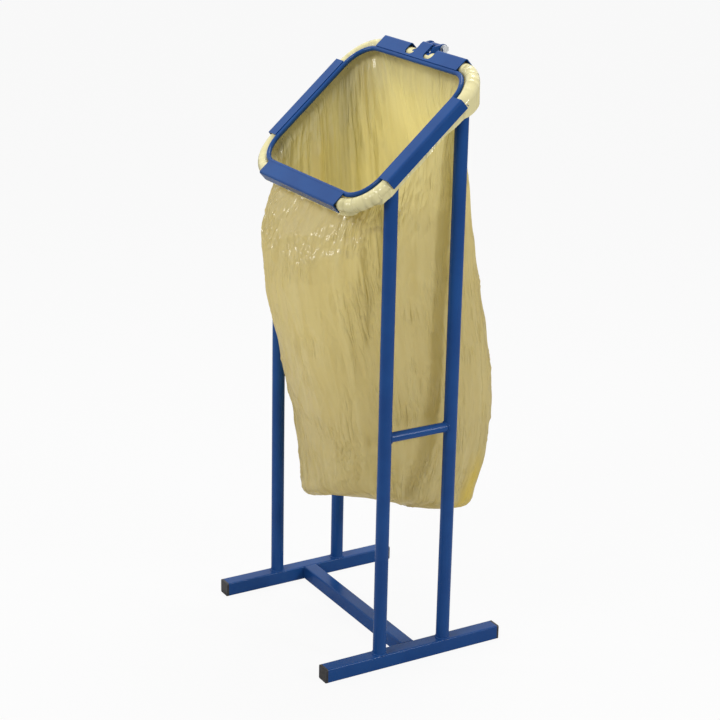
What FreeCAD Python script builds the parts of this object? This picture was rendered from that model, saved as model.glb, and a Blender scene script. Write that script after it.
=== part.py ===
import FreeCAD, Part, Sketcher
import math
import os
import re

# Recycling sack holder: a welded stand of steel tube whose slanted mouth ring carries a film sack,
# and a hinged clamp that lies on the ring and pinches the sack's rim.
# Millimetres and degrees. The origin is on the floor under the crossbar's middle. The feet run
# along Y, the low front side of the mouth is at -Y and the hinge is at +Y.

SIZES = {
    # Stand
    "foot_width": 30,
    "foot_wall": 2,
    "foot_edge_radius": 3,
    "foot_length": 401,
    "foot_spacing": 438,
    "plug_flange": 4.5,
    "plug_shank": 22,
    "plug_rib_height": 0.6,
    "plug_rib_width": 2,
    "plug_rib_pitch": 5,
    "plug_wall": 2,
    "tube_diameter": 26.9,
    "tube_wall": 2,
    "upright_spacing": 150,
    "spacer_diameter": 20,
    "spacer_height": 492,
    # Mouth ring, measured along its own slope
    "ring_length": 350,
    "ring_corner": 75,
    "ring_slope": 41.5,
    "ring_height": 1063,
    "ring_setback": -5,
    # Film over the ring
    "film_standoff": 0.5,
    "film_wall": 0.8,
    "hem_drop_front": 12,
    "hem_drop_back": 22,
    "hinge_window": 60,
    "window_start": 2,
    # Clamp
    "clamp_gap": 0.3,
    "rod_diameter": 10,
    "rod_angle": 32.3,
    "plate_wall": 2,
    "bend_radius": 2.5,
    "side_plate_length": 208,
    "end_plate_length": 296,
    "flange_gap": 0.4,
    "flange_drop": 5,
    "tab_width": 36,
    "notch_width": 30,
    "notch_radius": 10,
    "notch_web": 4.5,
    # Hinge, measured from the ring's rear run
    "hinge_reach": 35,
    "hinge_drop": 4,
    "bolt_diameter": 8,
    "bolt_length": 60,
    "bolt_head": 5.3,
    "bolt_flats": 13,
    "nut_height": 6.5,
    "washer_diameter": 16,
    "washer_wall": 1.6,
    "running_gap": 0.05,
    "sleeve_diameter": 14,
    "sleeve_side_gap": 0.3,
    "lug_wall": 5,
    "lug_side": 20,
    "lug_radius": 9,
    "lug_slope": 30,
    "lug_shoulder": 20.8,
    "lug_corner": 5,
    # Sack below the ring
    "sack_wall": 0.9,
    "fold_depth": 3.2,
    "pleat_depth": 13,
}

# Sack sections from the mouth down, measured from the middle of the ring: front edge (setback, drop),
# back edge (setback, drop), gap to the uprights' centre lines, squareness, depth of the left wall's
# pleats as a share of their deepest.
SACK_SECTIONS = [
    ((-123, 136), (136, -42), 16, 4.2, 0.3),
    ((-156, 188), (167, 63), 20, 3.6, 0.9),
    ((-177, 258), (200, 203), 24, 3.2, 1.0),
    ((-174, 343), (229, 323), 27, 3.0, 0.7),
    ((-151, 453), (255, 448), 30, 3.0, 0.3),
    ((-125, 563), (268, 568), 36, 3.2, 0.0),
    ((-99, 673), (263, 708), 51, 3.6, 0.0),
    ((-85, 751), (237, 847), 71, 4.4, 0.0),
]

# Straight runs in each bend of the ring, the clamp's rod and the film over them, and flat sides of a bar.
CORNER_STEPS = 10
BAR_SIDES = 24

# Flat faces of the film along the ring's straight runs and across its tube.
END_STEPS = 6
SIDE_STEPS = 8
ARCH_STEPS = 8

UP = FreeCAD.Vector(0, 0, 1)
ACROSS = FreeCAD.Vector(1, 0, 0)

doc = FreeCAD.newDocument("SackHolder")
nodes = {}


def make_sheet():
    """Write each size into its own named cell."""
    sheet = doc.addObject("Spreadsheet::Sheet", "Sizes")
    for row, (name, value) in enumerate(SIZES.items(), start=1):
        sheet.set(f"A{row}", name)
        sheet.set(f"B{row}", str(value))
        sheet.setAlias(f"B{row}", name)
    doc.recompute()
    return sheet


def cells(expression):
    """Point every size named in an expression at its cell."""
    def point_at_cell(word):
        name = word.group()
        return f"Sizes.{name}" if name in SIZES else name

    return re.sub(r"[a-z_]+", point_at_cell, str(expression))


def value(expression):
    """Work an expression out in numbers."""
    return float(sheet.evalExpression(cells(expression)))


def bind(item, **expressions):
    """Tie an object's properties to the sheet."""
    for prop, expression in expressions.items():
        item.setExpression(prop.replace("__", "."), cells(expression))
    return item


# Derived places, as expressions of the sheet's sizes.
RING_HALF_WIDTH = "foot_spacing / 2"
RING_HALF_LENGTH = "ring_length / 2"
TUBE_RADIUS = "tube_diameter / 2"
FILM_INNER = "(tube_diameter / 2 + film_standoff)"
FILM_OUTER = "(tube_diameter / 2 + film_standoff + film_wall)"
ROD_REACH = "(tube_diameter / 2 + film_standoff + film_wall + clamp_gap + rod_diameter / 2)"
ROD_INSET = f"({ROD_REACH} * cos(rod_angle * 1deg))"
ROD_LEVEL = f"({ROD_REACH} * sin(rod_angle * 1deg))"
PLATE_LEVEL = "(tube_diameter / 2 + film_standoff + film_wall + clamp_gap)"
PLATE_INNER = f"({ROD_INSET} - sqrt((rod_diameter / 2)^2 - ({PLATE_LEVEL} - {ROD_LEVEL})^2))"
FLANGE_INNER = "(tube_diameter / 2 + film_standoff + film_wall + flange_gap)"
FLANGE_OUTER = "(tube_diameter / 2 + film_standoff + film_wall + flange_gap + plate_wall)"
NOTCH_BOTTOM = f"(ring_length / 2 - {PLATE_INNER} + notch_web)"
HINGE_S = "(ring_length / 2 + hinge_reach)"


def keep(item, name):
    """Name a finished piece."""
    item.Label = name
    nodes[name] = item
    return item


def place(item, x=0, y=0, z=0):
    """Bind a piece's position."""
    return bind(item, Placement__Base__x=x, Placement__Base__y=y, Placement__Base__z=z)


def place_on_ring(item):
    """Stand a piece's own frame in the slanted plane of the mouth ring."""
    place(item, y="ring_setback", z="ring_height")
    item.Placement.Rotation = FreeCAD.Rotation(ACROSS, 1)
    return bind(item, Placement__Rotation__Angle="ring_slope * 1deg")


def new_body(name):
    """Start a body for one piece."""
    return doc.addObject("PartDesign::Body", name)


def sketch_on(body, role, offset=None):
    """Add a sketch on one of the body's own origin planes."""
    plane = next(item for item in body.Origin.OriginFeatures if item.Role == role)
    sketch = body.newObject("Sketcher::SketchObject", body.Name + "_sketch")
    sketch.AttachmentSupport = [(plane, "")]
    sketch.MapMode = "FlatFace"
    if offset:
        bind(sketch, AttachmentOffset__Base__z=offset)
    return sketch


def pin_point(sketch, geometry, end, x, y):
    """Hold one sketch point at expressions of the sheet."""
    for kind, expression in (("DistanceX", x), ("DistanceY", y)):
        number = sketch.addConstraint(Sketcher.Constraint(kind, -1, 1, geometry, end, value(expression)))
        sketch.setExpression(f"Constraints[{number}]", cells(expression))


def polygon(sketch, points):
    """Draw a closed outline whose corners are pairs of expressions."""
    corners = [FreeCAD.Vector(value(x), value(y), 0) for x, y in points]
    count = len(corners)
    start = sketch.GeometryCount
    for index in range(count):
        line = Part.LineSegment(corners[index], corners[(index + 1) % count])
        sketch.addGeometry(line, False)
    for index in range(count):
        following = start + (index + 1) % count
        sketch.addConstraint(Sketcher.Constraint("Coincident", start + index, 2, following, 1))
        pin_point(sketch, start + index, 1, *points[index])


def rectangle(sketch, half_x, half_y):
    """Draw a rectangle centred on the sketch's origin."""
    polygon(sketch, [(f"-({half_x})", f"-({half_y})"), (half_x, f"-({half_y})"),
                     (half_x, half_y), (f"-({half_x})", half_y)])


def circle(sketch, x, y, radius):
    """Draw a circle whose centre and radius are expressions."""
    centre = FreeCAD.Vector(value(x), value(y), 0)
    index = sketch.addGeometry(Part.Circle(centre, FreeCAD.Vector(0, 0, 1), value(radius)), False)
    pin_point(sketch, index, 3, x, y)
    number = sketch.addConstraint(Sketcher.Constraint("Radius", index, value(radius)))
    sketch.setExpression(f"Constraints[{number}]", cells(radius))


def mitred_loop(sketch, half_x, half_y, radius):
    """Draw a rounded rectangle whose corners are short straight runs, from the middle of its right side."""
    points = [(half_x, "0")]
    for quarter, (sign_x, sign_y) in enumerate([(1, 1), (-1, 1), (-1, -1), (1, -1)]):
        for step in range(CORNER_STEPS + 1):
            turn = f"{90 * (quarter + step / CORNER_STEPS)} * 1deg"
            points.append((f"{sign_x} * ({half_x} - ({radius})) + ({radius}) * cos({turn})",
                           f"{sign_y} * ({half_y} - ({radius})) + ({radius}) * sin({turn})"))
    polygon(sketch, points)


def bar_section(sketch, x, y, radius):
    """Draw a bar's round section as a polygon of many sides."""
    turns = [f"{360 * side / BAR_SIDES} * 1deg" for side in range(BAR_SIDES)]
    polygon(sketch, [(f"{x} + ({radius}) * cos({turn})", f"{y} + ({radius}) * sin({turn})") for turn in turns])


def pad(body, sketch, length, middle=True):
    """Pull a sketch out to a length, to both sides by default."""
    feature = body.newObject("PartDesign::Pad", body.Name + "_pad")
    feature.Profile = sketch
    feature.Midplane = middle
    return bind(feature, Length=length)


def pocket(body, sketch, length):
    """Cut a sketch's outline out of the body, to both sides."""
    feature = body.newObject("PartDesign::Pocket", body.Name + "_pocket")
    feature.Profile = sketch
    feature.Midplane = True
    return bind(feature, Length=length)


def round_edges(body, radius, wanted):
    """Fillet the edges of the body's last feature that a test picks."""
    doc.recompute()
    base = body.Tip
    names = [f"Edge{number}" for number, edge in enumerate(base.Shape.Edges, start=1) if wanted(edge)]
    feature = body.newObject("PartDesign::Fillet", body.Name + "_fillet")
    feature.Base = (base, names)
    return bind(feature, Radius=radius)


def near(edge, **place_of):
    """Tell whether an edge's middle lies at the given coordinates."""
    middle = edge.CenterOfMass
    return all(abs(getattr(middle, axis) - number) < 0.01 for axis, number in place_of.items())


def make_feet():
    """Two square tubes with rounded edges, open at both ends."""
    for side, sign in (("left", -1), ("right", 1)):
        body = new_body(f"foot_{side}")
        square_tube(body, "XZ_Plane", "foot_length")
        place(body, x=f"{sign} * foot_spacing / 2", z="foot_width / 2")
        keep(body, f"foot_{side}")


def square_tube(body, plane, length):
    """Pad the square tube's section and round its long edges."""
    sketch = sketch_on(body, plane)
    rectangle(sketch, "foot_width / 2", "foot_width / 2")
    rectangle(sketch, "foot_width / 2 - foot_wall", "foot_width / 2 - foot_wall")
    pad(body, sketch, length)
    half = value("foot_width / 2")
    run = value(length)
    round_edges(body, "foot_edge_radius",
                lambda edge: edge.Length > run - 1 and edge.CenterOfMass.Length > half * math.sqrt(2) - 0.1)


def make_crossbar():
    """The tube between the feet, butted against their inner sides."""
    body = new_body("crossbar")
    square_tube(body, "YZ_Plane", "foot_spacing - foot_width")
    place(body, z="foot_width / 2")
    keep(body, "crossbar")


def corner_edges(half):
    """Return a test for the four edges at the corners of a square about the Y axis."""
    return lambda edge: min(abs(edge.CenterOfMass.x), abs(edge.CenterOfMass.z)) > half - 0.1


def make_plugs():
    """Four end plugs: a flange as wide as the foot and a hollow ribbed shank inside it."""
    bore = "foot_width / 2 - foot_wall"
    shank_half = f"{bore} - plug_rib_height"
    for end, turn, sign_y in (("front", 0, -1), ("rear", 180, 1)):
        for side, sign_x in (("left", -1), ("right", 1)):
            body = new_body(f"foot_plug_{end}_{side}")
            flange = sketch_on(body, "XZ_Plane", "plug_flange / 2")
            rectangle(flange, "foot_width / 2", "foot_width / 2")
            pad(body, flange, "plug_flange")
            round_edges(body, "foot_edge_radius", corner_edges(value("foot_width / 2")))
            shank = sketch_on(body, "XZ_Plane", "-plug_shank / 2")
            rectangle(shank, shank_half, shank_half)
            rectangle(shank, f"{shank_half} - plug_wall", f"{shank_half} - plug_wall")
            pad(body, shank, "plug_shank")
            for number in range(1, 4):
                rib = sketch_on(body, "XZ_Plane", f"-{number} * plug_rib_pitch")
                rectangle(rib, bore, bore)
                rectangle(rib, f"{shank_half} - plug_wall / 2", f"{shank_half} - plug_wall / 2")
                pad(body, rib, "plug_rib_width")
            body.Placement.Rotation = FreeCAD.Rotation(UP, turn)
            place(body, f"{sign_x} * foot_spacing / 2", f"{sign_y} * foot_length / 2", "foot_width / 2")
            keep(body, f"foot_plug_{end}_{side}")


def cylinder(name, radius, length):
    """Make an upright cylinder that starts at its own origin."""
    return bind(doc.addObject("Part::Cylinder", name), Radius=radius, Height=length)


def cut(name, base, tool):
    """Cut one shape out of another."""
    item = doc.addObject("Part::Cut", name)
    item.Base = base
    item.Tool = tool
    return item


def tube(name, diameter, length):
    """Make an upright tube that starts at its own origin."""
    outer = cylinder(f"{name}_outside", f"{diameter} / 2", length)
    inner = cylinder(f"{name}_bore", f"{diameter} / 2 - tube_wall", length)
    return cut(f"{name}_tube", outer, inner)


def above_ring():
    """Everything over the ring's own plane, where no upright reaches."""
    above = bind(doc.addObject("Part::Box", "above_ring"), Length="2 * foot_spacing",
                 Width="2 * ring_length", Height="2 * ring_length")
    above.Placement.Rotation = FreeCAD.Rotation(ACROSS, 1)
    bind(above, Placement__Rotation__Angle="ring_slope * 1deg")
    return place(above, "-foot_spacing", "ring_setback - ring_length * cos(ring_slope * 1deg)",
                 "ring_height - ring_length * sin(ring_slope * 1deg)")


def make_uprights():
    """Four tubes welded on the feet and coped under the mouth ring."""
    above = above_ring()
    for side, sign_x in (("left", -1), ("right", 1)):
        for end, sign_y in (("front", -1), ("rear", 1)):
            name = f"upright_{end}_{side}"
            blank = tube(name, "tube_diameter", "ring_height + ring_length")
            place(blank, f"{sign_x} * foot_spacing / 2", f"{sign_y} * upright_spacing / 2", "foot_width")
            lowered = cut(f"{name}_lowered", blank, above)
            keep(cut(name, lowered, nodes["mouth_ring"]), name)


def make_spacers():
    """A thinner tube between the front and rear upright of each side, coped at both ends."""
    for side, sign_x in (("left", -1), ("right", 1)):
        name = f"spacer_{side}"
        blank = tube(name, "spacer_diameter", "upright_spacing")
        blank.Placement.Rotation = FreeCAD.Rotation(ACROSS, -90)
        place(blank, f"{sign_x} * foot_spacing / 2", "-upright_spacing / 2", "spacer_height")
        for sign_y in (-1, 1):
            post = cylinder(f"{name}_post_{sign_y}", TUBE_RADIUS, "ring_height")
            place(post, f"{sign_x} * foot_spacing / 2", f"{sign_y} * upright_spacing / 2")
            blank = cut(f"{name}_cope_{sign_y}", blank, post)
        keep(blank, name)


def bent_loop(name, inset, level, radius):
    """Pipe a round bar along a rounded rectangle in the ring's plane."""
    body = new_body(name)
    half_x = f"{RING_HALF_WIDTH} - {inset}"
    path = sketch_on(body, "XY_Plane", level)
    mitred_loop(path, half_x, f"{RING_HALF_LENGTH} - {inset}", f"ring_corner - {inset}")
    section = sketch_on(body, "XZ_Plane")
    bar_section(section, half_x, level, radius)
    pipe = body.newObject("PartDesign::AdditivePipe", f"{name}_pipe")
    pipe.Profile = section
    pipe.Spine = path
    pipe.Transition = "Right corner"
    place_on_ring(body)
    keep(body, name)


def make_mouth_ring():
    """The tube that carries the sack, bent to a closed loop; its sealed inside is filled."""
    bent_loop("mouth_ring", "0", "0", TUBE_RADIUS)


def make_clamp_rod():
    """The thin rod that presses the film against the inner side of the mouth ring."""
    bent_loop("clamp_ring", ROD_INSET, ROD_LEVEL, "rod_diameter / 2")


def angle_outline(half, sign):
    """Outline of a sheet that lies over the ring and is bent down outside it."""
    inner = f"{sign} * ({half} - {PLATE_INNER})"
    flange_inner = f"{sign} * ({half} + {FLANGE_INNER})"
    flange_outer = f"{sign} * ({half} + {FLANGE_OUTER})"
    top = f"{PLATE_LEVEL} + plate_wall"
    return [(inner, PLATE_LEVEL), (flange_inner, PLATE_LEVEL), (flange_inner, "-flange_drop"),
            (flange_outer, "-flange_drop"), (flange_outer, top), (inner, top)]


def bend(body, corner_of, length):
    """Round the inside and the outside of a bend at two corners of the outline."""
    for radius, corner in corner_of:
        round_edges(body, radius, lambda edge: edge.Length > length - 0.1 and near(edge, **corner))


def angle_plate(name, plane, half, sign, length, across):
    """Bend one plate from sheet and lay it on the ring."""
    body = new_body(name)
    sketch = sketch_on(body, plane)
    polygon(sketch, angle_outline(half, sign))
    pad(body, sketch, length)
    inside = {across: value(f"{sign} * ({half} + {FLANGE_INNER})"), "z": value(PLATE_LEVEL)}
    outside = {across: value(f"{sign} * ({half} + {FLANGE_OUTER})"), "z": value(f"{PLATE_LEVEL} + plate_wall")}
    bend(body, [("bend_radius", inside), ("bend_radius + plate_wall", outside)], value(length))
    place_on_ring(body)
    keep(body, name)
    return body


def make_plates():
    """The four plates of the clamp; only the rear one is cut."""
    angle_plate("clamp_plate_left", "XZ_Plane", RING_HALF_WIDTH, -1, "side_plate_length", "x")
    angle_plate("clamp_plate_right", "XZ_Plane", RING_HALF_WIDTH, 1, "side_plate_length", "x")
    angle_plate("clamp_plate_front", "YZ_Plane", RING_HALF_LENGTH, -1, "end_plate_length", "y")
    rear = angle_plate("clamp_plate_rear", "YZ_Plane", RING_HALF_LENGTH, 1, "end_plate_length", "y")
    cut_notches(rear)
    add_tab(rear)
    round_notches(rear)


def cut_notches(body):
    """Cut two notches beside the tab, open through the flange."""
    outside = f"{RING_HALF_LENGTH} + {FLANGE_OUTER} + 1"
    for sign in (-1, 1):
        sketch = sketch_on(body, "XY_Plane")
        near_side = f"{sign} * tab_width / 2"
        far_side = f"{sign} * (tab_width / 2 + notch_width)"
        polygon(sketch, [(near_side, NOTCH_BOTTOM), (far_side, NOTCH_BOTTOM), (far_side, outside), (near_side, outside)])
        pocket(body, sketch, "4 * tube_diameter")
    middle = sketch_on(body, "XY_Plane")
    polygon(middle, [("-tab_width / 2", RING_HALF_LENGTH), ("tab_width / 2", RING_HALF_LENGTH),
                     ("tab_width / 2", outside), ("-tab_width / 2", outside)])
    pocket(body, middle, "4 * tube_diameter")


def add_tab(body):
    """Run the tab on outward between the lugs and bend it down to the sleeve."""
    top = f"{PLATE_LEVEL} + plate_wall"
    leg_outer = f"{HINGE_S} - sleeve_diameter / 2"
    leg_inner = f"{leg_outer} - plate_wall"
    sketch = sketch_on(body, "YZ_Plane")
    polygon(sketch, [(RING_HALF_LENGTH, PLATE_LEVEL), (leg_inner, PLATE_LEVEL), (leg_inner, "-hinge_drop"),
                     (leg_outer, "-hinge_drop"), (leg_outer, top), (RING_HALF_LENGTH, top)])
    pad(body, sketch, "tab_width")
    inside = {"y": value(leg_inner), "z": value(PLATE_LEVEL)}
    outside = {"y": value(leg_outer), "z": value(top)}
    bend(body, [("bend_radius", inside), ("bend_radius + plate_wall", outside)], value("tab_width"))


def round_notches(body):
    """Round the notches' bottom corners."""
    corners = [value("tab_width / 2"), value("tab_width / 2 + notch_width")]
    depth = value(NOTCH_BOTTOM)
    round_edges(body, "notch_radius", lambda edge: abs(edge.CenterOfMass.y - depth) < 0.01 and
                min(abs(abs(edge.CenterOfMass.x) - corner) for corner in corners) < 0.01)


def make_lugs():
    """Two lugs with a bolt eye, welded to the back of the ring on both sides of the tab."""
    root_s = f"{RING_HALF_LENGTH} + tube_diameter / 4"
    root_n = "tube_diameter / 3"
    eye_n = "-hinge_drop"
    touch = (f"{HINGE_S} + lug_radius * sin(lug_slope * 1deg)", f"{eye_n} + lug_radius * cos(lug_slope * 1deg)")
    shoulder = (f"{touch[0]} - lug_shoulder * cos(lug_slope * 1deg)",
                f"{touch[1]} + lug_shoulder * sin(lug_slope * 1deg)")
    for side, sign in (("left", -1), ("right", 1)):
        name = f"hinge_lug_{side}"
        body = new_body(f"{name}_blank")
        middle = f"{sign} * (lug_side + lug_wall / 2)"
        arm = sketch_on(body, "YZ_Plane", middle)
        polygon(arm, [(root_s, f"-{root_n}"), (HINGE_S, f"{eye_n} - lug_radius"), (HINGE_S, eye_n),
                      touch, shoulder, (root_s, root_n)])
        pad(body, arm, "lug_wall")
        at_shoulder = {"y": value(shoulder[0]), "z": value(shoulder[1])}
        round_edges(body, "lug_corner", lambda edge: near(edge, **at_shoulder))
        eye = sketch_on(body, "YZ_Plane", middle)
        circle(eye, HINGE_S, eye_n, "lug_radius")
        pad(body, eye, "lug_wall")
        hole = sketch_on(body, "YZ_Plane", middle)
        circle(hole, HINGE_S, eye_n, "bolt_diameter / 2")
        pocket(body, hole, "2 * lug_wall")
        place_on_ring(body)
        keep(cut(name, body, rear_run(name)), name)


def rear_run(name):
    """Make the ring's rear run as a solid rod, to cope a lug."""
    run = cylinder(f"{name}_run", TUBE_RADIUS, "foot_spacing")
    run.Placement.Rotation = FreeCAD.Rotation(FreeCAD.Vector(0, 1, 0), 90)
    return place(run, f"-{RING_HALF_WIDTH}", f"ring_setback + {RING_HALF_LENGTH} * cos(ring_slope * 1deg)",
                 f"ring_height + {RING_HALF_LENGTH} * sin(ring_slope * 1deg)")


def hexagon(sketch, x, y, flats):
    """Draw a hexagon about a point, by its width across flats."""
    radius = f"({flats} / 2 / cos(30 * 1deg))"
    polygon(sketch, [(f"{x} + {radius} * cos({60 * corner} * 1deg)", f"{y} + {radius} * sin({60 * corner} * 1deg)")
                     for corner in range(6)])


def hinge_piece(name, start, length, hole=None, hexagonal=False, diameter="bolt_flats"):
    """Pad one turned or hexagonal piece along the hinge axis from a place on it."""
    body = new_body(name)
    sketch = sketch_on(body, "YZ_Plane", f"({start}) + ({length}) / 2")
    if hexagonal:
        hexagon(sketch, HINGE_S, "-hinge_drop", diameter)
    else:
        circle(sketch, HINGE_S, "-hinge_drop", f"({diameter}) / 2")
    if hole:
        circle(sketch, HINGE_S, "-hinge_drop", f"({hole}) / 2")
    pad(body, sketch, length)
    place_on_ring(body)
    return keep(body, name)


def make_hinge():
    """The bolt with its washers and nut, and the sleeve that turns on it with the tab."""
    outer_face = "(lug_side + lug_wall)"
    washer_face = f"({outer_face} + washer_wall)"
    hinge_piece("hinge_washer_left", f"-{washer_face}", "washer_wall", "bolt_diameter", diameter="washer_diameter")
    hinge_piece("hinge_washer_right", outer_face, "washer_wall", "bolt_diameter", diameter="washer_diameter")
    hinge_piece("hinge_nut", washer_face, "nut_height", "bolt_diameter", hexagonal=True)
    bolt = hinge_piece("hinge_bolt", f"-{washer_face} - bolt_head", "bolt_head", hexagonal=True)
    shank = sketch_on(bolt, "YZ_Plane", f"-{washer_face} + bolt_length / 2")
    circle(shank, HINGE_S, "-hinge_drop", "bolt_diameter / 2")
    pad(bolt, shank, "bolt_length")
    hinge_piece("hinge_sleeve", "sleeve_side_gap - lug_side", "2 * (lug_side - sleeve_side_gap)",
                "bolt_diameter + 2 * running_gap", diameter="sleeve_diameter")


def ring_point(x, along, level):
    """Turn ring coordinates into the model's: across, up the slope and off the ring's plane."""
    slope = math.radians(value("ring_slope"))
    return FreeCAD.Vector(x, value("ring_setback") + along * math.cos(slope) - level * math.sin(slope),
                          value("ring_height") + along * math.sin(slope) + level * math.cos(slope))


def ring_stations():
    """Points and outward normals around the ring's centreline, in its plane, evenly on each stretch."""
    straight_x = value(f"{RING_HALF_WIDTH} - ring_corner")
    straight_y = value(f"{RING_HALF_LENGTH} - ring_corner")
    corner = value("ring_corner")
    stations = []
    for quarter, (side_x, side_y) in enumerate([(1, 1), (-1, 1), (-1, -1), (1, -1)]):
        centre = FreeCAD.Vector(side_x * straight_x, side_y * straight_y, 0)
        steps = END_STEPS if quarter % 2 == 0 else SIDE_STEPS
        for step in range(CORNER_STEPS):
            angle = math.pi / 2 * (quarter + step / CORNER_STEPS)
            normal = FreeCAD.Vector(math.cos(angle), math.sin(angle), 0)
            stations.append((centre + normal * corner, normal))
        angle = math.pi / 2 * (quarter + 1)
        normal = FreeCAD.Vector(math.cos(angle), math.sin(angle), 0)
        run = FreeCAD.Vector(-normal.y, normal.x, 0) * (2 * (straight_x if quarter % 2 == 0 else straight_y))
        for step in range(steps):
            stations.append((centre + normal * corner + run * (step / steps), normal))
    return stations


def film_loop(stations, offset, level):
    """Points around the ring, at an offset from its centreline and a level over its plane."""
    points = []
    for middle, normal in stations:
        point = middle + normal * offset
        height = level(middle.y) if callable(level) else level
        points.append(ring_point(point.x, point.y, height))
    return points


def hem_level(along):
    """Lower edge of the hem, which hangs lower at the back than at the front."""
    half = value(RING_HALF_LENGTH)
    share = (along + half) / (2 * half)
    return -value("hem_drop_front") - share * value("hem_drop_back - hem_drop_front")


def sack_loop(stations, number, wall, lift):
    """Points around the sack at one of its sections, moved in by a wall."""
    front, back, gap, squareness, pleat = SACK_SECTIONS[number]
    half_x = value(RING_HALF_WIDTH) - gap
    middle_y = value("ring_setback") + (front[0] + back[0]) / 2
    middle_z = value("ring_height") - (front[1] + back[1]) / 2 + lift
    half_y = math.hypot(back[0] - front[0], back[1] - front[1]) / 2
    tilt = math.atan2(front[1] - back[1], back[0] - front[0])
    fold = value("fold_depth") * math.sin(math.pi * (number + 1) / (len(SACK_SECTIONS) + 1)) ** 0.7
    points = []
    for index, (middle, normal) in enumerate(stations):
        angle = math.atan2(middle.y, middle.x)
        reach = (abs(math.cos(angle) / half_x) ** squareness
                 + abs(math.sin(angle) / half_y) ** squareness) ** (-1 / squareness)
        slack = fold + value("pleat_depth") * pleat * max(0, -math.cos(angle)) ** 10
        reach -= slack * (1 - math.cos(index * math.pi / 2)) / 2 + wall
        along = reach * math.sin(angle)
        points.append(FreeCAD.Vector(reach * math.cos(angle), middle_y + along * math.cos(tilt),
                                     middle_z + along * math.sin(tilt)))
    return points


def film_loops(stations, radius, wall, lift):
    """Loops of one side of the film: hem, arch over the ring, and the sack down to its bottom."""
    loops = [film_loop(stations, radius, hem_level)]
    for step in range(ARCH_STEPS + 1):
        angle = math.pi * step / ARCH_STEPS
        loops.append(film_loop(stations, radius * math.cos(angle), radius * math.sin(angle)))
    loops.append(film_loop(stations, -radius, -value("tube_diameter / 3")))
    last = len(SACK_SECTIONS) - 1
    for number in range(last + 1):
        loops.append(sack_loop(stations, number, wall, lift if number == last else 0))
    return loops


def flat_face(*corners):
    """One flat face from its corners."""
    return Part.Face(Part.makePolygon([*corners, corners[0]]))


def band(upper, lower, flat):
    """Faces between two loops: flat quarters where the film is formed on the ring, else pairs of triangles."""
    faces = []
    for index in range(len(upper)):
        following = (index + 1) % len(upper)
        a, b, c, d = upper[index], upper[following], lower[following], lower[index]
        if flat:
            faces.append(flat_face(a, b, c, d))
        else:
            faces += [flat_face(a, b, c), flat_face(a, c, d)]
    return faces


def make_sack():
    """The film sack, one closed thin wall, with a window in its rim at the hinge."""
    stations = ring_stations()
    arch_growth = math.cos(math.pi / ARCH_STEPS / 2)
    facing_clamp = film_loops(stations, value(FILM_OUTER), value("sack_wall"), value("sack_wall"))
    facing_ring = film_loops(stations, value(FILM_INNER) / arch_growth, 0, 0)
    formed = ARCH_STEPS + 2
    faces = band(facing_clamp[0], facing_ring[0], False)
    for loops in (facing_clamp, facing_ring):
        for row in range(len(loops) - 1):
            faces += band(loops[row], loops[row + 1], row < formed)
        faces.append(flat_face(*loops[-1]))
    film = Part.makeCompound(faces)
    film.sewShape(0.01)
    solid = Part.Solid(film.Shells[0])
    if solid.Volume < 0:
        solid.reverse()
    width = value("hinge_window")
    depth = 2 * value("tube_diameter")
    start = value(RING_HALF_LENGTH) + value("window_start")
    window = Part.makeBox(width, depth, depth, FreeCAD.Vector(-width / 2, start, -depth / 2))
    window.Placement = ring_placement()
    sack = doc.addObject("Part::Feature", "sack")
    sack.Shape = solid.cut(window)
    keep(sack, "sack")


def ring_placement():
    """Placement of the ring's own frame."""
    turn = FreeCAD.Rotation(ACROSS, value("ring_slope"))
    return FreeCAD.Placement(ring_point(0, 0, 0), turn)


def check_document():
    """Stop when any object failed or any finished piece has no valid solid."""
    for item in doc.Objects:
        if "Invalid" in item.State or "Error" in item.State:
            raise RuntimeError(f"{item.Label} failed: {item.State}")
    for name, item in nodes.items():
        if item.Shape.isNull() or not item.Shape.isValid() or len(item.Shape.Solids) != 1:
            raise RuntimeError(f"{name} has no single valid solid")


def write_steps():
    """Write each finished piece to its own file."""
    os.makedirs("parts", exist_ok=True)
    for name, item in nodes.items():
        item.Shape.exportStep(os.path.join("parts", f"{name}.step"))


sheet = make_sheet()
make_feet()
make_crossbar()
make_plugs()
make_mouth_ring()
make_uprights()
make_spacers()
make_clamp_rod()
make_plates()
make_lugs()
make_hinge()
make_sack()
doc.recompute()
check_document()
write_steps()
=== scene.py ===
import math
import bmesh
import bpy
import numpy as np
from mathutils import Matrix, Vector, noise


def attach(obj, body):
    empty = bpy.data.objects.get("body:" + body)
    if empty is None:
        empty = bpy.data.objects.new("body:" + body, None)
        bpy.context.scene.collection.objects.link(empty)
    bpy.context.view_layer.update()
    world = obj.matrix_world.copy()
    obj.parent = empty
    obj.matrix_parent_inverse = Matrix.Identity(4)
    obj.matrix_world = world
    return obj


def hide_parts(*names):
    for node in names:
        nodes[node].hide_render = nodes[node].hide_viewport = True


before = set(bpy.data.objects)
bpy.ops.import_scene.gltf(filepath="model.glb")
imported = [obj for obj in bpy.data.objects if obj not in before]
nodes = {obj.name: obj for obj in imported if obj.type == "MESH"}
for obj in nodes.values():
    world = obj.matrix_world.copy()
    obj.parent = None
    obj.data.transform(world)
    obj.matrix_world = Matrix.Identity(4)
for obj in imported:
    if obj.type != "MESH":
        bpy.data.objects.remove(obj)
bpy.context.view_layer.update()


# Feet and crossbar: 30 mm square steel tube with a 2 mm wall, sawn square, welded and stood on
# the floor. The stand is shot-blasted and powder coated as a whole, so one coat covers tube,
# weld and plate alike.

def colour(hex_code):
    """sRGB hex to the linear colour that Blender works in."""
    parts = [int(hex_code[i:i + 2], 16) / 255 for i in (0, 2, 4)]
    return tuple(p / 12.92 if p <= 0.04045 else ((p + 0.055) / 1.055) ** 2.4 for p in parts) + (1.0,)


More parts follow.
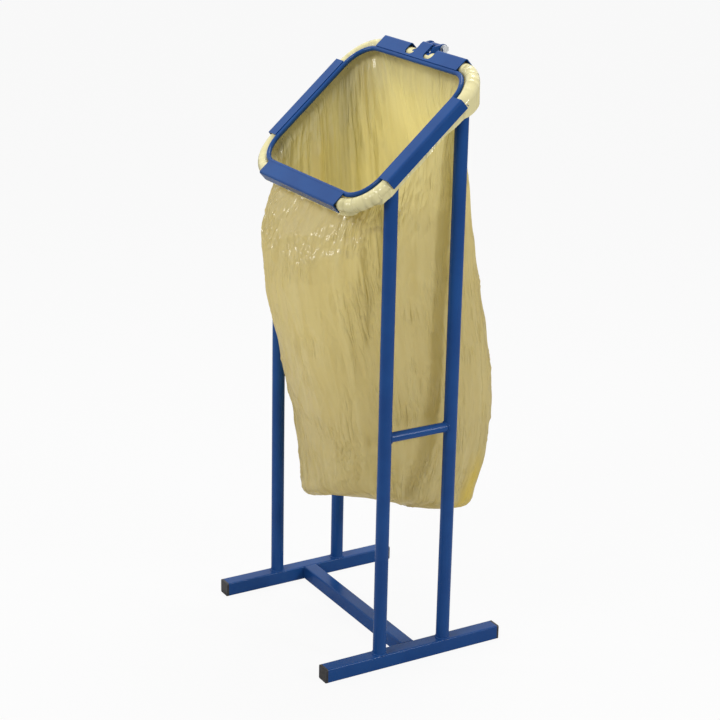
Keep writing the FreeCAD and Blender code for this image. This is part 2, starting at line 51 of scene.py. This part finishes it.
def add_node(material, kind, settings, links):
    """Add one node, set its properties and sockets, and link its sockets."""
    node = material.node_tree.nodes.new(kind)
    for name, value in settings.items():
        if isinstance(name, str) and hasattr(node, name):
            setattr(node, name, value)
        else:
            node.inputs[name].default_value = value
    for name, source in links.items():
        material.node_tree.links.new(source, node.inputs[name])
    return node


def blank_material(name):
    """A material with an empty node tree."""
    material = bpy.data.materials.new(name)
    material.use_nodes = True
    material.node_tree.nodes.clear()
    return material


def ramp(material, pattern, low, high):
    """Blend between two colours, each given as (value of the pattern, hex code)."""
    node = add_node(material, "ShaderNodeValToRGB", {}, {"Fac": pattern})
    for element, (position, hex_code) in zip(node.color_ramp.elements, (low, high)):
        element.position = position
        element.color = colour(hex_code)
    return node.outputs["Color"]


# Polyester powder coat, sprayed and baked: a satin blue skin about 80 microns thick. The eye gets
# a soft wide highlight broken by orange peel, and edges where the powder thins a little.
powder_coat = blank_material("powder_coated_steel_blue")
place = add_node(powder_coat, "ShaderNodeTexCoord", {}, {}).outputs["Object"]
# Orange peel waves are 2 to 3 mm across on steel sheet; drawn at 3 mm.
peel = add_node(powder_coat, "ShaderNodeTexNoise", {"Scale": 330.0, "Detail": 2.0, "Roughness": 0.4},
                {"Vector": place})
# Film build varies over hands' breadths, about 90 mm.
build_up = add_node(powder_coat, "ShaderNodeTexNoise", {"Scale": 11.0, "Detail": 3.0}, {"Vector": place})
coat_colour = ramp(powder_coat, build_up.outputs["Fac"], (0.3, "1b4481"), (0.7, "1f4d8c"))
coat_gloss = add_node(powder_coat, "ShaderNodeMapRange", {"To Min": 0.17, "To Max": 0.27},
                      {"Value": build_up.outputs["Fac"]})
coat_bump = add_node(powder_coat, "ShaderNodeBump", {"Strength": 0.05, "Distance": 0.0002},
                     {"Height": peel.outputs["Fac"]})
coat = add_node(powder_coat, "ShaderNodeBsdfPrincipled", {"IOR": 1.5, "Specular IOR Level": 0.15},
                {"Base Color": coat_colour, "Roughness": coat_gloss.outputs["Result"],
                 "Normal": coat_bump.outputs["Normal"]})
add_node(powder_coat, "ShaderNodeOutputMaterial", {}, {"Surface": coat.outputs["BSDF"]})


def coat_node(name, material):
    """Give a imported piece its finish."""
    nodes[name].data.materials.clear()
    nodes[name].data.materials.append(material)


for name in ("foot_left", "foot_right", "crossbar"):
    coat_node(name, powder_coat)


# Foot plugs: ribbed end caps of black polyethylene, moulded and driven into the four ends of the
# feet. Their flange is flush with the tube's outside.

# Moulded low-density polyethylene: a waxy black with a fine spark-eroded grain.
plug_plastic = blank_material("moulded_polyethylene_black")
place = add_node(plug_plastic, "ShaderNodeTexCoord", {}, {}).outputs["Object"]
# Mould grain of about 0.3 mm is too fine to show; drawn at 0.8 mm.
grain = add_node(plug_plastic, "ShaderNodeTexNoise", {"Scale": 1250.0, "Detail": 2.0}, {"Vector": place})
grain_bump = add_node(plug_plastic, "ShaderNodeBump", {"Strength": 0.25, "Distance": 0.0001},
                      {"Height": grain.outputs["Fac"]})
# Scuffs about 11 mm across.
scuffs = add_node(plug_plastic, "ShaderNodeTexNoise", {"Scale": 90.0, "Detail": 4.0}, {"Vector": place})
plug_colour = ramp(plug_plastic, scuffs.outputs["Fac"], (0.45, "232122"), (0.75, "2f2c2d"))
plug_skin = add_node(plug_plastic, "ShaderNodeBsdfPrincipled", {"Roughness": 0.5, "IOR": 1.51},
                     {"Base Color": plug_colour, "Normal": grain_bump.outputs["Normal"]})
add_node(plug_plastic, "ShaderNodeOutputMaterial", {}, {"Surface": plug_skin.outputs["BSDF"]})
for name in ("foot_plug_front_left", "foot_plug_front_right", "foot_plug_rear_left", "foot_plug_rear_right"):
    coat_node(name, plug_plastic)


# Uprights and spacers: 26.9 mm tube welded upright on the feet, with a 20 mm tube coped and
# welded between each pair.

for name in ("upright_front_left", "upright_front_right", "upright_rear_left", "upright_rear_right",
             "spacer_left", "spacer_right"):
    coat_node(name, powder_coat)


def weld_bead(name, places, thickness):
    """One round of weld, a thin bar along a closed line of points with the ripple of its runs."""
    line_of = bpy.data.curves.new(name, "CURVE")
    line_of.dimensions = "3D"
    line_of.bevel_depth = thickness
    line_of.bevel_resolution = 3
    run = line_of.splines.new("POLY")
    run.points.add(len(places) - 1)
    for number, at in enumerate(places):
        run.points[number].co = (*at, 1)
        run.points[number].radius = 1 + 0.22 * math.sin(number * 2.1) + 0.1 * math.sin(number * 0.37)
    run.use_cyclic_u = True
    bead = bpy.data.objects.new(name, line_of)
    bpy.context.scene.collection.objects.link(bead)
    bpy.ops.object.select_all(action="DESELECT")
    bead.select_set(True)
    bpy.context.view_layer.objects.active = bead
    bpy.ops.object.convert(target="MESH")
    bpy.ops.object.shade_smooth()
    bead.data.materials.clear()
    bead.data.materials.append(powder_coat)
    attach(bead, "stand")


# Radii of the uprights and spacers, the uprights' places, and the ring's slope and middle.
TUBE, SPACER = 0.01345, 0.01
SIDES = (("left", -0.219), ("right", 0.219))
ENDS = (("front", -0.075), ("rear", 0.075))
SLOPE = math.radians(41.5)
RING_SETBACK, RING_HEIGHT = 0.005, 1.063
FOOT_WELD_HEIGHT, SPACER_HEIGHT = 0.0304, 0.492
BEAD_STEPS = 72
turns = [2 * math.pi * k / BEAD_STEPS for k in range(BEAD_STEPS)]
for side, x in SIDES:
    for end, y in ENDS:
        weld_bead(f"weld_foot_{end}_{side}",
                  [(x + TUBE * math.cos(a), y + TUBE * math.sin(a), FOOT_WELD_HEIGHT) for a in turns], 0.0021)
        inward = -math.copysign(1, y)
        weld_bead(f"weld_spacer_{end}_{side}",
                  [(x + SPACER * math.cos(a), y + inward * math.sqrt(TUBE ** 2 - (SPACER * math.cos(a)) ** 2),
                    SPACER_HEIGHT + SPACER * math.sin(a)) for a in turns], 0.0019)

# Under the ring the weld follows each upright's coped top.
for side, x in SIDES:
    for end, y in ENDS:
        places = []
        for a in turns:
            spread = 0.0126 + 0.0009 * abs(math.sin(a))
            below_ring = -TUBE * abs(math.sin(a))
            along = (y + spread * math.sin(a) + RING_SETBACK + below_ring * math.sin(SLOPE)) / math.cos(SLOPE)
            places.append((x + spread * math.cos(a), y + spread * math.sin(a),
                           RING_HEIGHT + along * math.sin(SLOPE) + below_ring * math.cos(SLOPE)))
        weld_bead(f"weld_top_{end}_{side}", places, 0.0015)


# Mouth ring and hinge lugs: a tube bent to a closed loop on the uprights' coped tops, with two
# flame-cut lugs welded behind it.

for name in ("mouth_ring", "hinge_lug_left", "hinge_lug_right"):
    coat_node(name, powder_coat)


# Clamp: a 10 mm rod bent to a loop, four folded 2 mm plates welded on it and the hinge sleeve.

for name in ("clamp_ring", "clamp_plate_left", "clamp_plate_right", "clamp_plate_front", "clamp_plate_rear",
             "hinge_sleeve"):
    coat_node(name, powder_coat)


# Hinge bolt: an M8 bolt with washers and nut, zinc plated, through lugs and sleeve.

# Bright zinc plate on turned steel: pale bluish metal with cloudy patches.
zinc = blank_material("zinc_plated_steel")
place = add_node(zinc, "ShaderNodeTexCoord", {}, {}).outputs["Object"]
# Plating clouds a few millimetres wide.
clouds = add_node(zinc, "ShaderNodeTexNoise", {"Scale": 260.0, "Detail": 4.0}, {"Vector": place})
zinc_colour = ramp(zinc, clouds.outputs["Fac"], (0.0, "a9adb0"), (1.0, "d8dadb"))
zinc_gloss = add_node(zinc, "ShaderNodeMapRange", {"To Min": 0.22, "To Max": 0.4},
                      {"Value": clouds.outputs["Fac"]})
zinc_skin = add_node(zinc, "ShaderNodeBsdfPrincipled", {"Metallic": 1.0},
                     {"Base Color": zinc_colour, "Roughness": zinc_gloss.outputs["Result"]})
add_node(zinc, "ShaderNodeOutputMaterial", {}, {"Surface": zinc_skin.outputs["BSDF"]})
for name in ("hinge_bolt", "hinge_washer_left", "hinge_washer_right", "hinge_nut"):
    coat_node(name, zinc)


# Sack: a yellow film sack of about 120 litres, blown from low-density polyethylene. Its rim is
# folded over the mouth ring and pinched by the clamp, and the rest hangs down between the
# uprights, gathered below the ring and bulged out lower down.

# The ring's half width, half length and bend, the film's distance from its centre line, the
# number of columns around the sack, and rows of the hem, of its loose part and of the arch.
RING_X, RING_S, RING_BEND = 0.219, 0.175, 0.075
RING_MIDDLE = np.array([0.0, -RING_SETBACK, RING_HEIGHT])
FILM_REACH = 0.01415
AROUND = 512
HEM_ROWS, LOOSE_ROWS, ARCH_ROWS = 12, 6, 16


def on_ring(x, s, n):
    """Points given across, up the slope and off the ring's plane."""
    return np.stack([x, RING_MIDDLE[1] + s * math.cos(SLOPE) - n * math.sin(SLOPE),
                     RING_MIDDLE[2] + s * math.sin(SLOPE) + n * math.cos(SLOPE)], -1)


def ring_line(count):
    """Even points round the ring from its rear's middle.

    Each has its place, its outward normal, its share of a bend and the folds counted so far.
    """
    straight_x, straight_s = RING_X - RING_BEND, RING_S - RING_BEND
    arc = RING_BEND * math.pi / 2
    runs = [("x", straight_x), ("arc", arc), ("s", 2 * straight_s), ("arc", arc), ("x", 2 * straight_x),
            ("arc", arc), ("s", 2 * straight_s), ("arc", arc), ("x", straight_x)]
    total = sum(length for kind, length in runs)
    points, normals, bends, fold_turns = [], [], [], []
    for i in range(count):
        left = total * i / count
        at, facing, folds = np.array([0.0, RING_S]), math.pi / 2, 13.0
        for kind, length in runs:
            go = min(left, length)
            if kind == "arc":
                middle = at - RING_BEND * np.array([math.cos(facing), math.sin(facing)])
                facing += go / RING_BEND
                at = middle + RING_BEND * np.array([math.cos(facing), math.sin(facing)])
            else:
                at = at + go * np.array([-math.sin(facing), math.cos(facing)])
            left -= go
            folds += go / length * {"arc": 10, "s": 8, "x": 6 if length > straight_x else 3}[kind]
            if left <= 0:
                break
        points.append(at)
        fold_turns.append(folds / 4)
        normals.append((math.cos(facing), math.sin(facing)))
        bends.append(math.sin(math.pi * go / length) if kind == "arc" else 0)
    return np.array(points), np.array(normals), np.array(bends), np.array(fold_turns), total


line, outward, bent, fold_turn, round_length = ring_line(AROUND)


def streaks(column, row, width, length, seed):
    """Noise that runs on around the sack, its patches so wide and so long in metres."""
    reach = round_length / (2 * math.pi)
    at = 2 * math.pi * column / AROUND
    return noise.noise(Vector((math.cos(at) * reach / width + seed, math.sin(at) * reach / width,
                               row / length + seed * 0.37)))


# Rim: from the hem's lower edge up outside the ring, over it and down inside. At the bends it
# puffs up in small creases between the plates.
rows = []
hem_low = np.array([0.012 + 0.010 * (s + RING_S) / (2 * RING_S) for x, s in line])
hem_wave = np.array([streaks(c, 0, 0.07, 1, 3) * 0.006 + streaks(c, 0, 0.02, 1, 5) * 0.002
                     for c in range(AROUND)])
hem_flare = np.array([0.0008 + 0.003 * abs(streaks(c, 0, 0.03, 1, 9))
                      for c in range(AROUND)]) * (1 - 0.6 * bent)
puckers = np.array([0.0003 + 0.0002 * abs(streaks(c, 0, 0.009, 1, 13))
                    + 0.0004 * abs(streaks(c, 0, 0.04, 1, 19)) for c in range(AROUND)]) * bent ** 0.5
# The loose skirt is tucked under the ring at the two front bends and hangs long at the two rear ones.
tucked = np.clip((bent - 0.55) / 0.35, 0, 1) * (line[:, 1] < 0)
hem_low = hem_low + 0.016 * bent * (line[:, 1] > 0)
# The film follows the ring round to where it hangs plumb, or further at a tucked bend. In front
# it runs down square to the ring's plane, behind the clamp's flange.
plumb = np.maximum(0, np.arctan(outward[:, 1] * math.tan(SLOPE)))
wrapped = plumb * (1 - tucked) + math.radians(62) * tucked
fall = (hem_low + hem_wave) * (1 - tucked)
leaning = np.clip(-outward[:, 1], 0, 1) * SLOPE
for step in range(HEM_ROWS):
    down = max(0.0, 1 - step / LOOSE_ROWS)
    under = wrapped * min(1.0, 2 - step / LOOSE_ROWS)
    reach = FILM_REACH + puckers * 0.6 + down ** 1.5 * hem_flare * (1 - tucked)
    ring_side = on_ring(line[:, 0] + outward[:, 0] * reach * np.cos(under),
                        line[:, 1] + outward[:, 1] * reach * np.cos(under), -reach * np.sin(under))
    ring_side[:, 1] += down * fall * np.sin(leaning)
    ring_side[:, 2] -= down * fall * np.cos(leaning)
    rows.append(ring_side)
for step in range(ARCH_ROWS + 1):
    angle = math.pi * step / ARCH_ROWS
    reach = FILM_REACH + puckers * max(0.0, math.cos(angle * 0.85)) ** 0.5
    rows.append(on_ring(line[:, 0] + outward[:, 0] * reach * math.cos(angle),
                        line[:, 1] + outward[:, 1] * reach * math.cos(angle), reach * math.sin(angle)))
rim_rows = len(rows)

# Body: sections from the mouth down as front edge (y, z), back edge (y, z), half width,
# squareness and the number of rows down to it.
SECTIONS = [
    ((-0.128, 0.927), (0.128, 1.102), 0.2030, 4.2, 7),
    ((-0.161, 0.875), (0.159, 0.998), 0.1990, 3.5, 12),
    ((-0.182, 0.805), (0.192, 0.859), 0.1950, 3.0, 15),
    ((-0.178, 0.720), (0.221, 0.740), 0.1920, 2.8, 15),
    ((-0.155, 0.610), (0.247, 0.615), 0.1890, 2.8, 17),
    ((-0.129, 0.500), (0.259, 0.495), 0.1830, 3.0, 16),
    ((-0.109, 0.430), (0.251, 0.385), 0.1710, 3.3, 15),
    ((-0.092, 0.300), (0.230, 0.300), 0.1490, 3.5, 15),
]
bearing = np.arctan2(line[:, 1], line[:, 0])


def section_loop(front, back, half_x, squareness):
    """Points around one section of the sack."""
    half_y = math.hypot(back[0] - front[0], back[1] - front[1]) / 2
    tilt = math.atan2(back[1] - front[1], back[0] - front[0])
    reach = (np.abs(np.cos(bearing) / half_x) ** squareness
             + np.abs(np.sin(bearing) / half_y) ** squareness) ** (-1 / squareness)
    run = reach * np.sin(bearing)
    return np.stack([reach * np.cos(bearing), (front[0] + back[0]) / 2 + run * math.cos(tilt),
                     (front[1] + back[1]) / 2 + run * math.sin(tilt)], -1)


inside = line - outward * FILM_REACH
stops = [on_ring(inside[:, 0], inside[:, 1], np.full(AROUND, level)) for level in (0.0, -0.009)]
stops += [section_loop(*section[:4]) for section in SECTIONS]
# The last section is drawn up at its front right corner and hangs low at the other three.
along_x, along_y = stops[-1][:, 0], stops[-1][:, 1] - 0.07
stops[-1][:, 2] = 0.292 + 0.22 * along_x - 0.15 * along_y - 1.35 * along_x * along_y
counts = [1] + [section[4] for section in SECTIONS]
slopes = []
for k in range(len(stops)):
    before, after = stops[max(k - 1, 0)], stops[min(k + 1, len(stops) - 1)]
    rows_between = counts[max(k - 1, 0)] * (k > 0) + (counts[k] if k < len(counts) else 0)
    slopes.append((after - before) / rows_between)
for k, count in enumerate(counts):
    for step in range(1, count + 1):
        t = step / count
        rows.append((2 * t ** 3 - 3 * t ** 2 + 1) * stops[k] + (t ** 3 - 2 * t ** 2 + t) * count * slopes[k]
                    + (3 * t ** 2 - 2 * t ** 3) * stops[k + 1] + (t ** 3 - t ** 2) * count * slopes[k + 1])
body_rows = len(rows) - rim_rows

# Bottom: rounded under and drawn in to a short welded seam across the sack.
lowest = stops[-1]
floor_middle = lowest.mean(0)
for share, sink in ((0.97, 0.010), (0.92, 0.018), (0.85, 0.023), (0.75, 0.026), (0.62, 0.028), (0.48, 0.029),
                    (0.33, 0.029), (0.18, 0.028), (0.08, 0.027), (0.0, 0.026)):
    row = floor_middle + (lowest - floor_middle) * np.array([0.5 + 0.5 * share, share, share])
    row[:, 2] -= sink
    rows.append(row)
grid = np.array(rows)

# Folds: the grid is pushed along its own normals. Broad slack folds run the whole height, small
# gathers spread from the ring's bends, and the left wall falls inwards in deep pleats at the mouth.
# Depths in metres, and the row whose normals tell which way they all point.
VALLEY, BROAD, FINE, SLANTED, DENT, SMALL = 0.0035, 0.005, 0.0035, 0.002, 0.003, 0.0007
GATHER, BEND_GATHER, BEND_CREASE = 0.004, 0.010, 0.008
PLEAT, PLEAT_RIDGE = 0.013, 0.020
PUSH_RANGE = (-0.021, 0.004)
WALL_ROW = 60
normal = np.cross(np.gradient(grid, axis=0), np.roll(grid, -1, 1) - np.roll(grid, 1, 1))
normal /= np.maximum(np.linalg.norm(normal, axis=-1, keepdims=True), 1e-9)
if ((grid - grid.mean(1, keepdims=True)) * normal)[WALL_ROW].sum() < 0:
    normal = -normal
drop = np.zeros(len(grid))
drop[1:] = np.cumsum(np.linalg.norm(np.diff(grid, axis=0), axis=-1).mean(1))
push = np.zeros(grid.shape[:2])
left_wall = np.maximum(0, -np.cos(bearing)) ** 8
for row in range(rim_rows, len(grid)):
    below = drop[row] - drop[rim_rows]
    slack = min(1.0, below / 0.12)
    near_ring = math.exp(-below / 0.16) * min(1.0, below / 0.02)
    pleated = min(1.0, below / 0.10) * math.exp(-max(0.0, below - 0.22) / 0.12)
    end = 1.0 if row < rim_rows + body_rows else 0.6
    for column in range(AROUND):
        sway = 0.16 * streaks(column, below, 0.12, 0.25, 5)
        valley = (1 - math.cos(2 * math.pi * (fold_turn[column] + sway))) / 2
        broad = math.sqrt(streaks(column, below, 0.075, 0.60, 11) ** 2 + 0.004)
        fine = max(0.0, 1 - abs(streaks(column, below, 0.034, 0.22, 17)) / 0.11) ** 1.5
        fine *= min(1.0, max(0.0, 0.35 + 1.8 * streaks(column, below, 0.11, 0.20, 29)))
        slanted = abs(streaks((column + 300 * below) % AROUND, below, 0.09, 0.13, 47))
        slanted = max(0.0, 1 - slanted / 0.05) ** 1.5
        gather = abs(streaks(column, below, 0.012, 0.14, 23))
        crease = 1 - abs(math.sin(math.pi * (column / 8.3 + 0.9 * streaks(column, below, 0.05, 0.12, 53))))
        dent = streaks(column, below, 0.06, 0.05, 31)
        small = streaks(column, below, 0.014, 0.028, 37)
        crisp = abs(streaks(column, below, 0.018, 0.4, 41))
        push[row, column] = end * (
            slack * (-VALLEY * valley + BROAD * (broad - 0.25) + FINE * fine + SLANTED * slanted + DENT * dent
                     + SMALL * small)
            + near_ring * ((GATHER + BEND_GATHER * bent[column]) * (gather - 0.3)
                           + BEND_CREASE * bent[column] * (crease ** 1.5 - 0.5))
            + left_wall[column] * pleated * (-PLEAT * valley ** 2 + PLEAT_RIDGE * (crisp - 0.3)))
push = np.clip(push, *PUSH_RANGE)
grid = grid + normal * push[..., None]

mesh = bpy.data.meshes.new("sack_film")
faces = []
for row in range(len(grid) - 1):
    for column in range(AROUND):
        following = (column + 1) % AROUND
        faces.append((row * AROUND + column, row * AROUND + following,
                      (row + 1) * AROUND + following, (row + 1) * AROUND + column))
mesh.from_pydata(grid.reshape(-1, 3).tolist(), [], faces)
film_map = mesh.uv_layers.new(name="along_film")
for number, face in enumerate(mesh.polygons):
    row, column = divmod(number, AROUND)
    for corner, (r, c) in zip(face.loop_indices, ((row, column), (row, column + 1), (row + 1, column + 1),
                                                  (row + 1, column))):
        film_map.data[corner].uv = (c / AROUND * round_length, drop[r])
sack = bpy.data.objects.new("sack_film", mesh)
bpy.context.scene.collection.objects.link(sack)

# The rim is cut away behind the ring's middle, where lugs and sleeve pass.
WINDOW_HALF_WIDTH = 0.031
work = bmesh.new()
work.from_mesh(mesh)
window = []
for face in work.faces:
    at = face.calc_center_median() - Vector(RING_MIDDLE)
    s = at.y * math.cos(SLOPE) + at.z * math.sin(SLOPE)
    n = -at.y * math.sin(SLOPE) + at.z * math.cos(SLOPE)
    if abs(at.x) < WINDOW_HALF_WIDTH and s > RING_S + 0.001 and n > -0.05:
        window.append(face)
bmesh.ops.delete(work, geom=window, context="FACES")
bmesh.ops.remove_doubles(work, verts=work.verts, dist=1e-6)
bmesh.ops.recalc_face_normals(work, faces=work.faces)
work.to_mesh(mesh)
work.free()
for face in mesh.polygons:
    face.use_smooth = True

# Blown polyethylene film, 50 microns: a slippery yellow skin that lets light through. The eye
# gets a milky glow where light comes from behind, long soft streaks and thin bright glints.
film = blank_material("polyethylene_film_yellow")
sheet_place = add_node(film, "ShaderNodeUVMap", {"uv_map": "along_film"}, {}).outputs["UV"]
# Sharp wrinkles, about 16 mm apart and 110 mm long, that stand out only in patches a hand wide.
wrinkle_stretch = add_node(film, "ShaderNodeMapping", {"Scale": (62.0, 9.0, 1.0)}, {"Vector": sheet_place})
wrinkles = add_node(film, "ShaderNodeTexNoise",
                    {"Scale": 1.0, "Detail": 1.5, "Roughness": 0.5, "Distortion": 0.7},
                    {"Vector": wrinkle_stretch.outputs["Vector"]})
wrinkle_side = add_node(film, "ShaderNodeMath", {"operation": "SUBTRACT", 1: 0.5},
                        {0: wrinkles.outputs["Fac"]})
wrinkle_off = add_node(film, "ShaderNodeMath", {"operation": "ABSOLUTE"}, {0: wrinkle_side.outputs["Value"]})
wrinkle_ridge = add_node(film, "ShaderNodeMapRange", {"From Max": 0.14, "To Min": 1.0, "To Max": 0.0},
                         {"Value": wrinkle_off.outputs["Value"]})
patches = add_node(film, "ShaderNodeTexNoise", {"Scale": 9.0, "Detail": 2.0}, {"Vector": sheet_place})
patch_share = add_node(film, "ShaderNodeMapRange", {"From Min": 0.44, "From Max": 0.62, "To Min": 0.12},
                       {"Value": patches.outputs["Fac"]})
wrinkled = add_node(film, "ShaderNodeMath", {"operation": "MULTIPLY"},
                    {0: wrinkle_ridge.outputs["Result"], 1: patch_share.outputs["Result"]})
# Soft hollows between them, 25 mm wide and 110 mm long.
hollow_stretch = add_node(film, "ShaderNodeMapping", {"Scale": (40.0, 9.0, 1.0)}, {"Vector": sheet_place})
hollows = add_node(film, "ShaderNodeTexNoise", {"Scale": 1.0, "Detail": 1.0, "Distortion": 0.5},
                   {"Vector": hollow_stretch.outputs["Vector"]})
# Crumpled facets, 14 mm wide and 28 mm long, in the same patches.
facet_stretch = add_node(film, "ShaderNodeMapping", {"Scale": (70.0, 35.0, 1.0)}, {"Vector": sheet_place})
facets = add_node(film, "ShaderNodeTexVoronoi", {"Scale": 1.0}, {"Vector": facet_stretch.outputs["Vector"]})
faceted = add_node(film, "ShaderNodeMath", {"operation": "MULTIPLY"},
                   {0: facets.outputs["Distance"], 1: patch_share.outputs["Result"]})
hollow_relief = add_node(film, "ShaderNodeMath", {"operation": "MULTIPLY_ADD", 1: 1.9},
                         {0: hollows.outputs["Fac"], 2: wrinkled.outputs["Value"]})
relief = add_node(film, "ShaderNodeMath", {"operation": "MULTIPLY_ADD", 1: 2.6},
                  {0: faceted.outputs["Value"], 2: hollow_relief.outputs["Value"]})
# Broad streaks of the blown film, 25 mm across and 250 mm long.
streak_stretch = add_node(film, "ShaderNodeMapping", {"Scale": (40.0, 4.0, 1.0)}, {"Vector": sheet_place})
streak = add_node(film, "ShaderNodeTexNoise", {"Scale": 1.0, "Detail": 2.0},
                  {"Vector": streak_stretch.outputs["Vector"]})
film_colour = ramp(film, streak.outputs["Fac"], (0.3, "d0c494"), (0.75, "dcd3a4"))
# The rim lies double on the ring and is painted paler: partly for the double film, partly as painted light
# for the direct light on its top.
sheet_parts = add_node(film, "ShaderNodeSeparateXYZ", {}, {"Vector": sheet_place})
on_rim = add_node(film, "ShaderNodeMapRange",
                  {"From Min": 0.05, "From Max": 0.075, "To Min": 1.0, "To Max": 0.0},
                  {"Value": sheet_parts.outputs["Y"]})
skin_with_paler_lit_rim = add_node(film, "ShaderNodeMix", {"data_type": "RGBA", 7: colour("ede3ab")},
                      {0: on_rim.outputs["Result"], 6: film_colour})
# Painted glow: a saturated yellow patch at the rear right bottom corner, 1.25 m around and 0.75 m down,
# stands in for light passing through and bouncing between the folded film there.
from_corner = add_node(film, "ShaderNodeMath", {"operation": "SUBTRACT", 1: 1.25},
                       {0: sheet_parts.outputs["X"]})
off_corner = add_node(film, "ShaderNodeMath", {"operation": "ABSOLUTE"}, {0: from_corner.outputs["Value"]})
near_corner = add_node(film, "ShaderNodeMapRange",
                       {"From Min": 0.01, "From Max": 0.04, "To Min": 1.0, "To Max": 0.0},
                       {"Value": off_corner.outputs["Value"]})
low_corner = add_node(film, "ShaderNodeMapRange", {"From Min": 0.73, "From Max": 0.80},
                      {"Value": sheet_parts.outputs["Y"]})
painted_corner_glow_mask = add_node(film, "ShaderNodeMath", {"operation": "MULTIPLY"},
                  {0: near_corner.outputs["Result"], 1: low_corner.outputs["Result"]})
# The painted yellow glow at the corner is mixed into the film's colour here.
film_with_painted_corner_glow = add_node(film, "ShaderNodeMix", {"data_type": "RGBA", 7: colour("e6cd62")},
                      {0: painted_corner_glow_mask.outputs["Value"], 6: skin_with_paler_lit_rim.outputs[2]})
film_bump = add_node(film, "ShaderNodeBump", {"Strength": 1.0, "Distance": 0.0017},
                     {"Height": relief.outputs["Value"]})
film_front = add_node(film, "ShaderNodeBsdfPrincipled", {"Roughness": 0.15, "IOR": 1.51},
                      {"Base Color": film_with_painted_corner_glow.outputs[2], "Normal": film_bump.outputs["Normal"]})
film_glow = add_node(film, "ShaderNodeBsdfTranslucent", {"Color": colour("ecda84")},
                     {"Normal": film_bump.outputs["Normal"]})
# Less light comes through where the film lies on the ring.
see_through = add_node(film, "ShaderNodeMapRange", {"To Min": 0.42, "To Max": 0.1},
                       {"Value": on_rim.outputs["Result"]})
film_both = add_node(film, "ShaderNodeMixShader", {},
                     {0: see_through.outputs["Result"], 1: film_front.outputs["BSDF"],
                      2: film_glow.outputs["BSDF"]})
add_node(film, "ShaderNodeOutputMaterial", {}, {"Surface": film_both.outputs["Shader"]})
mesh.materials.append(film)
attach(sack, "stand")
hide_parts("sack")


# Floor, light and view.

bpy.ops.object.select_all(action="DESELECT")
bpy.ops.mesh.primitive_plane_add(size=40, location=(0, 0, 0))
floor = bpy.context.object
floor.name = "studio_floor"
floor_paint = blank_material("studio_floor_white")
floor_skin = add_node(floor_paint, "ShaderNodeBsdfDiffuse", {"Color": (0.62, 0.62, 0.62, 1)}, {})
floor_white = add_node(floor_paint, "ShaderNodeEmission", {"Strength": 1.0}, {})
floor_seen = add_node(floor_paint, "ShaderNodeLightPath", {}, {})
floor_share = add_node(floor_paint, "ShaderNodeMath", {"operation": "MULTIPLY", 1: 0.92},
                       {0: floor_seen.outputs["Is Camera Ray"]})
floor_both = add_node(floor_paint, "ShaderNodeMixShader", {}, {0: floor_share.outputs["Value"],
                                                               1: floor_skin.outputs["BSDF"],
                                                               2: floor_white.outputs["Emission"]})
add_node(floor_paint, "ShaderNodeOutputMaterial", {}, {"Surface": floor_both.outputs["Shader"]})
floor.data.materials.append(floor_paint)

# A white room that lights softly, but is full white where the eye, a reflection or light that has
# passed the film meets it.
world = bpy.data.worlds.new("studio_world")
bpy.context.scene.world = world
world.use_nodes = True
world.node_tree.nodes.clear()
paths = add_node(world, "ShaderNodeLightPath", {}, {})
sharp = add_node(world, "ShaderNodeMath", {"operation": "MAXIMUM"}, {0: paths.outputs["Is Camera Ray"],
                                                                     1: paths.outputs["Is Glossy Ray"]})
seen = add_node(world, "ShaderNodeMath", {"operation": "MAXIMUM"}, {0: sharp.outputs["Value"],
                                                                    1: paths.outputs["Is Transmission Ray"]})
soft = add_node(world, "ShaderNodeBackground", {"Color": (1, 1, 1, 1), "Strength": 0.42}, {})
bright = add_node(world, "ShaderNodeBackground", {"Color": (1, 1, 1, 1), "Strength": 1.0}, {})
both = add_node(world, "ShaderNodeMixShader", {}, {0: seen.outputs["Value"], 1: soft.outputs["Background"],
                                                   2: bright.outputs["Background"]})
add_node(world, "ShaderNodeOutputWorld", {}, {"Surface": both.outputs["Shader"]})


def softbox(name, at, aim, size, power):
    """A square studio lamp aimed at a point."""
    lamp = bpy.data.lights.new(name, "AREA")
    lamp.size = size
    lamp.energy = power
    item = bpy.data.objects.new(name, lamp)
    bpy.context.scene.collection.objects.link(item)
    item.location = at
    item.rotation_euler = (Vector(aim) - Vector(at)).to_track_quat("-Z", "Y").to_euler()


softbox("key", (0.6, -2.2, 3.3), (0, 0, 1.0), 0.9, 36)
softbox("fill", (2.8, 1.5, 1.7), (0, 0, 0.9), 0.5, 34)
softbox("front", (-1.5, -2.6, 1.7), (0, 0, 0.9), 0.5, 20)
softbox("top", (-0.6, 0.8, 3.2), (0, 0, 1.0), 1.2, 40)

camera = bpy.data.cameras.new("camera")
camera.lens = 94.46
camera.sensor_width = 36
eye = bpy.data.objects.new("camera", camera)
bpy.context.scene.collection.objects.link(eye)
azimuth, elevation, roll = (math.radians(v) for v in (59.35, 19.1, 1.23))
back = Vector((math.sin(azimuth) * math.cos(elevation), -math.cos(azimuth) * math.cos(elevation),
               math.sin(elevation)))
right = Vector((math.cos(azimuth), math.sin(azimuth), 0))
up = back.cross(right)
level_right = math.cos(roll) * right + math.sin(roll) * up
level_up = -math.sin(roll) * right + math.cos(roll) * up
eye.matrix_world = Matrix((level_right, level_up, back)).transposed().to_4x4()
eye.location = (3.1153, -1.8509, 1.8280)
bpy.context.scene.camera = eye
bpy.context.scene.view_settings.view_transform = "Standard"
